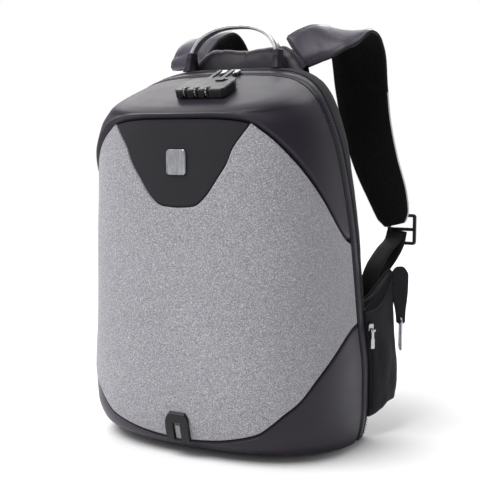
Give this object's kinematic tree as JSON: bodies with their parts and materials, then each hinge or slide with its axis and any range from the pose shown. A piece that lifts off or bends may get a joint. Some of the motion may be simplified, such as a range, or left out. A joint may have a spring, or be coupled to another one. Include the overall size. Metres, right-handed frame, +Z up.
{
  "type": "anti theft backpack",
  "caption": "Hard-fronted backpack with a grey moulded panel, arched bar handle, combination lock on the main zip, padded shoulder straps and a side pocket wing.",
  "frame": {"origin": "on the floor under the side seam, in the middle of the bag's width", "axes": "+Z up, -Y out of the front panel, +X to the viewer's right"},
  "size_m": [0.3799, 0.2939, 0.5075],
  "materials": {
    "coated_fabric": "smooth coated fabric, soft sheen",
    "strap_fabric": "smooth coated fabric over padding",
    "grey_melange": "matt flecked weave",
    "inset_fabric": "matt close weave",
    "black_fabric": "matt coarse weave",
    "black_mesh": "matt spacer mesh",
    "black_piping": "matt covered cord",
    "black_zip": "matt zip tape",
    "black_webbing": "matt ribbed webbing",
    "black_plastic": "fine grained",
    "lock_plastic": "semi gloss",
    "grey_strip": "satin",
    "badge_metal": "bright",
    "bright_metal": "bright plated",
    "handle_metal": "satin brushed"
  },
  "bodies": {
    "bag": {"front_shell": "coated_fabric", "front_panel": "grey_melange", "v_inset": "inset_fabric", "badge": "badge_metal", "bottom_tab": "black_plastic", "tab_strip": "grey_strip", "main_zip": "black_zip", "gusset": "coated_fabric", "piping": "black_piping", "rear_shell": "black_fabric", "back_panel": "black_mesh", "collar": "coated_fabric", "handle_bar": "handle_metal", "handle_socket_right": "coated_fabric", "handle_socket_left": "coated_fabric", "lock_body": "lock_plastic", "zip_pull_left": "bright_metal", "zip_pull_right": "bright_metal", "zip_slider_left": "bright_metal", "zip_slider_right": "bright_metal", "strap_right": "strap_fabric", "strap_left": "strap_fabric", "webbing_right": "black_webbing", "webbing_left": "black_webbing", "webbing_tail_right": "black_webbing", "webbing_tail_left": "black_webbing", "buckle_right": "black_plastic", "buckle_left": "black_plastic", "wing_right": "black_fabric", "wing_left": "black_fabric", "pocket_zip": "black_zip", "pocket_slider": "bright_metal", "anchor_tab": "black_webbing", "clip_ring": "bright_metal"},
    "dial_1": {"dial_1": "lock_plastic"},
    "dial_2": {"dial_2": "lock_plastic"},
    "dial_3": {"dial_3": "lock_plastic"},
    "lock_release": {"lock_release": "lock_plastic"},
    "pocket_pull": {"pocket_pull": "bright_metal"}
  },
  "joints": [
    {"name": "dial_1_turn", "type": "hinge", "parent": "bag", "child": "dial_1", "pos_m": [-0.006, -0.11076, 0.41654], "axis": [1, 0, 0], "continuous": true},
    {"name": "dial_2_turn", "type": "hinge", "parent": "bag", "child": "dial_2", "pos_m": [0.008, -0.11076, 0.41654], "axis": [1, 0, 0], "continuous": true},
    {"name": "dial_3_turn", "type": "hinge", "parent": "bag", "child": "dial_3", "pos_m": [0.022, -0.11076, 0.41654], "axis": [1, 0, 0], "continuous": true},
    {"name": "lock_release_slide", "type": "slide", "parent": "bag", "child": "lock_release", "axis": [1, 0, 0], "range_m": [0, 0.004], "stiffness_N_per_m": 150},
    {"name": "pocket_pull_swing", "type": "hinge", "parent": "bag", "child": "pocket_pull", "pos_m": [0.1721, 0.02395, 0.135], "axis": [-0.5803, -0.8144, 0], "range_deg": [0, 80]}
  ]
}
